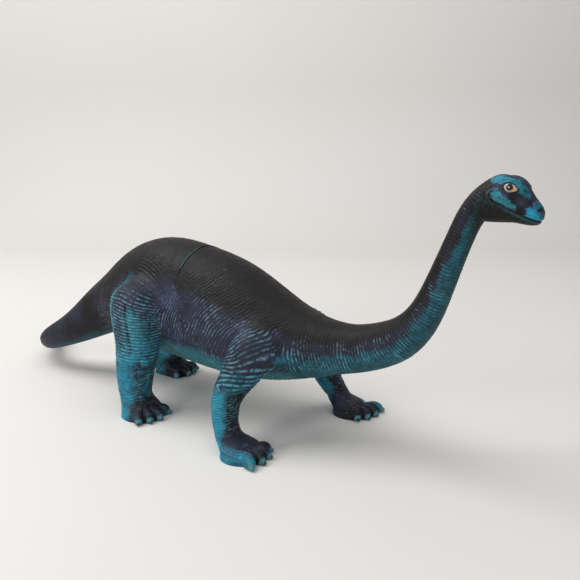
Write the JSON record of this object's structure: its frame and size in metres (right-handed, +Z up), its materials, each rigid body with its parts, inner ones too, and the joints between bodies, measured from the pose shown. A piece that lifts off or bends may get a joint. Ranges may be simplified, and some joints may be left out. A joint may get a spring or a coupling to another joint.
{
  "type": "toy dinosaur figure",
  "caption": "Hollow soft vinyl toy dinosaur with a long raised neck and a curled tail, walking; its legs, neck and tail turn stiffly on round plugs",
  "frame": {"origin": "centre of the bounding box at ground level", "axes": "+X the way the animal walks, +Y its left side, +Z up"},
  "size_m": [0.369, 0.1092, 0.1323],
  "materials": {
    "dark_vinyl": "satin soft vinyl, sprayed nearly black over teal",
    "blue_vinyl": "satin soft vinyl, teal with dark spray"
  },
  "bodies": {
    "body": {"rear_body": "dark_vinyl", "front_body": "dark_vinyl"},
    "neck_and_head": {"neck_and_head": "blue_vinyl"},
    "tail": {"tail": "dark_vinyl"},
    "hind_leg_right": {"hind_leg_right": "blue_vinyl"},
    "hind_leg_left": {"hind_leg_left": "blue_vinyl"},
    "front_leg_right": {"front_leg_right": "blue_vinyl"},
    "front_leg_left": {"front_leg_left": "blue_vinyl"}
  },
  "joints": [
    {"name": "hind_right_swivel", "type": "hinge", "parent": "body", "child": "hind_leg_right", "pos_m": [-0.01656, -0.03103, 0.057], "axis": [0, -0.9781, -0.2079], "range_deg": [-25, 15]},
    {"name": "hind_left_swivel", "type": "hinge", "parent": "body", "child": "hind_leg_left", "pos_m": [-0.01656, 0.02097, 0.057], "axis": [0, -0.9781, 0.2079], "range_deg": [-20, 25]},
    {"name": "front_right_swivel", "type": "hinge", "parent": "body", "child": "front_leg_right", "pos_m": [0.06304, -0.02703, 0.047], "axis": [0, -0.9781, -0.2079], "range_deg": [-25, 25]},
    {"name": "front_left_swivel", "type": "hinge", "parent": "body", "child": "front_leg_left", "pos_m": [0.06304, 0.01697, 0.047], "axis": [0, -0.9781, 0.2079], "range_deg": [-35, 20]},
    {"name": "neck_swivel", "type": "hinge", "parent": "body", "child": "neck_and_head", "pos_m": [0.09604, -0.00503, 0.0487], "axis": [1, 0, 0], "range_deg": [-45, 45]},
    {"name": "tail_swivel", "type": "hinge", "parent": "body", "child": "tail", "pos_m": [-0.06396, -0.00503, 0.05], "axis": [1, 0, 0], "range_deg": [-20, 45]}
  ]
}
